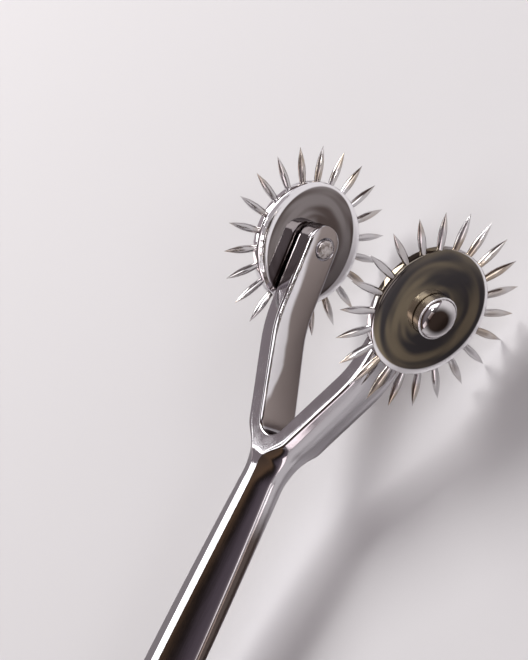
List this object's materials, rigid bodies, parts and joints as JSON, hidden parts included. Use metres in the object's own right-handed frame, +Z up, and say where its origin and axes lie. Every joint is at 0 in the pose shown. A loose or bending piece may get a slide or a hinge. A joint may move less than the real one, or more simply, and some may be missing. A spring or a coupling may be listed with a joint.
{
  "type": "neurological pinwheel",
  "caption": "Faceted polished steel handle that forks to carry free-spinning needle wheels on riveted axles, rolled over the skin to test sensation.",
  "frame": {"origin": "bottom centre of the bounding box, on the table that the instrument lies on", "axes": "+X along the handle towards the wheels, +Z up; the instrument rests on the needles of its wheels and on the butt of its handle, and its sides mirror about y = 0"},
  "size_m": [0.1896, 0.0416, 0.0323],
  "materials": {
    "handle_chrome": "polished and buffed, faceted bar",
    "disc_chrome": "mirror polished",
    "rivet_chrome": "polished head, peened end",
    "needle_steel": "ground and polished",
    "washer_steel": "turned"
  },
  "bodies": {
    "fork": {"fork_handle": "handle_chrome", "right_axle_rivet": "rivet_chrome", "right_thrust_washer": "washer_steel", "left_axle_rivet": "rivet_chrome", "left_thrust_washer": "washer_steel"},
    "right_wheel": {"right_disc": "disc_chrome", "right_needle_1": "needle_steel", "right_needle_2": "needle_steel", "right_needle_3": "needle_steel", "right_needle_4": "needle_steel", "right_needle_5": "needle_steel", "right_needle_6": "needle_steel", "right_needle_7": "needle_steel", "right_needle_8": "needle_steel", "right_needle_9": "needle_steel", "right_needle_10": "needle_steel", "right_needle_11": "needle_steel", "right_needle_12": "needle_steel", "right_needle_13": "needle_steel", "right_needle_14": "needle_steel", "right_needle_15": "needle_steel", "right_needle_16": "needle_steel", "right_needle_17": "needle_steel", "right_needle_18": "needle_steel", "right_needle_19": "needle_steel", "right_needle_20": "needle_steel", "right_needle_21": "needle_steel", "right_needle_22": "needle_steel"},
    "left_wheel": {"left_disc": "disc_chrome", "left_needle_1": "needle_steel", "left_needle_2": "needle_steel", "left_needle_3": "needle_steel", "left_needle_4": "needle_steel", "left_needle_5": "needle_steel", "left_needle_6": "needle_steel", "left_needle_7": "needle_steel", "left_needle_8": "needle_steel", "left_needle_9": "needle_steel", "left_needle_10": "needle_steel", "left_needle_11": "needle_steel", "left_needle_12": "needle_steel", "left_needle_13": "needle_steel", "left_needle_14": "needle_steel", "left_needle_15": "needle_steel", "left_needle_16": "needle_steel", "left_needle_17": "needle_steel", "left_needle_18": "needle_steel", "left_needle_19": "needle_steel", "left_needle_20": "needle_steel", "left_needle_21": "needle_steel", "left_needle_22": "needle_steel"}
  },
  "joints": [
    {"name": "right_wheel_spin", "type": "hinge", "parent": "fork", "child": "right_wheel", "pos_m": [0.07871, -0.01674, 0.01614], "axis": [-0.1103, -0.9939, -0.0084], "continuous": true},
    {"name": "left_wheel_spin", "type": "hinge", "parent": "fork", "child": "left_wheel", "pos_m": [0.07871, 0.01674, 0.01614], "axis": [-0.1103, 0.9939, -0.0084], "continuous": true}
  ]
}
